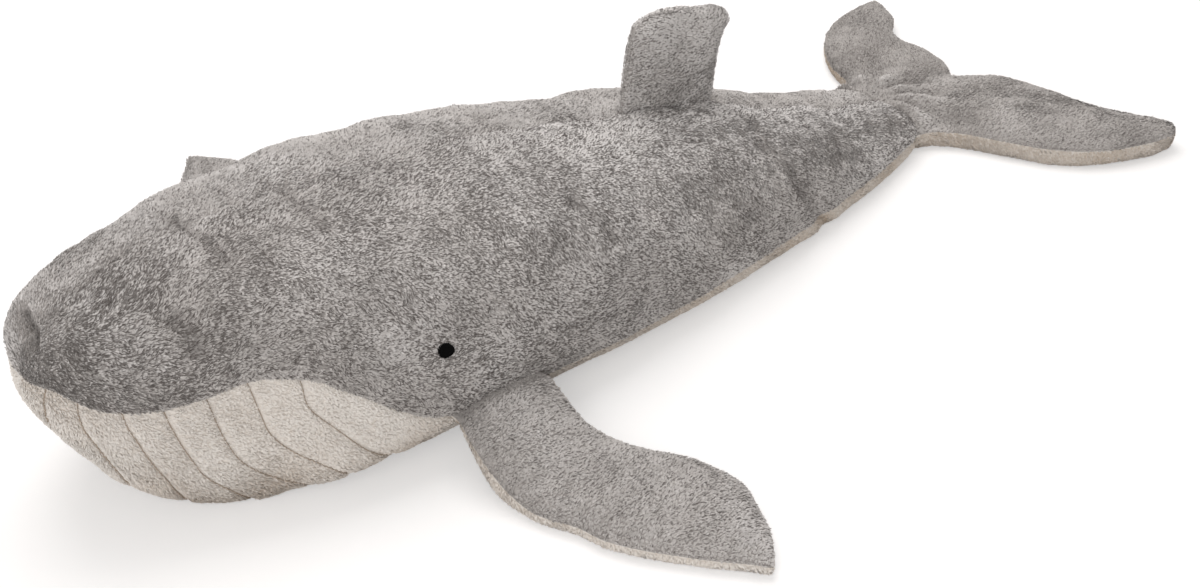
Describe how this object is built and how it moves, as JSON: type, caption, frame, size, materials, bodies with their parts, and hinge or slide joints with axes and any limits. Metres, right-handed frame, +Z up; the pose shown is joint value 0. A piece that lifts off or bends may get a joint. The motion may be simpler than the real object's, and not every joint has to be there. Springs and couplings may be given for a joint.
{
  "type": "plush whale",
  "caption": "Large stuffed whale lying on its belly, with grey upper panels, a pale pleated throat and belly, hinged flippers, dorsal fin and flukes.",
  "frame": {"origin": "on the floor under the middle of the whole toy's box, as it lies on its belly", "axes": "+X from snout to tail, +Y to the whale's right, +Z up"},
  "size_m": [0.9988, 0.6954, 0.1987],
  "materials": {
    "grey_plush": "short matted pile",
    "cream_plush": "short matted pile",
    "filling": "loose polyester fibre",
    "black_thread": "satin stitch"
  },
  "bodies": {
    "body": {"left_side_panel": "grey_plush", "right_side_panel": "grey_plush", "belly_panel": "cream_plush", "body_filling": "filling", "left_eye": "black_thread", "right_eye": "black_thread"},
    "left_flipper": {"left_flipper_top_panel": "grey_plush", "left_flipper_under_panel": "cream_plush", "left_flipper_filling": "filling"},
    "right_flipper": {"right_flipper_top_panel": "grey_plush", "right_flipper_under_panel": "cream_plush", "right_flipper_filling": "filling"},
    "dorsal_fin": {"dorsal_fin_left_panel": "grey_plush", "dorsal_fin_right_panel": "grey_plush", "dorsal_fin_filling": "filling"},
    "flukes": {"flukes_top_panel": "grey_plush", "flukes_under_panel": "cream_plush", "flukes_filling": "filling"}
  },
  "joints": [
    {"name": "left_flipper_raise", "type": "hinge", "parent": "body", "child": "left_flipper", "pos_m": [-0.26473, -0.12975, 0.03802], "axis": [-1, 0, 0], "range_deg": [-35, 50], "stiffness_Nm_per_rad": 0.12},
    {"name": "right_flipper_raise", "type": "hinge", "parent": "body", "child": "right_flipper", "pos_m": [-0.26473, 0.12975, 0.03802], "axis": [1, 0, 0], "range_deg": [-35, 50], "stiffness_Nm_per_rad": 0.12},
    {"name": "dorsal_fin_lean", "type": "hinge", "parent": "body", "child": "dorsal_fin", "pos_m": [-0.00201, 0, 0.13656], "axis": [0.971, 0, -0.2393], "range_deg": [-35, 35], "stiffness_Nm_per_rad": 0.12},
    {"name": "flukes_lift", "type": "hinge", "parent": "body", "child": "flukes", "pos_m": [0.32135, 0, 0.01677], "axis": [0, -1, 0], "range_deg": [-35, 45], "stiffness_Nm_per_rad": 0.35}
  ]
}
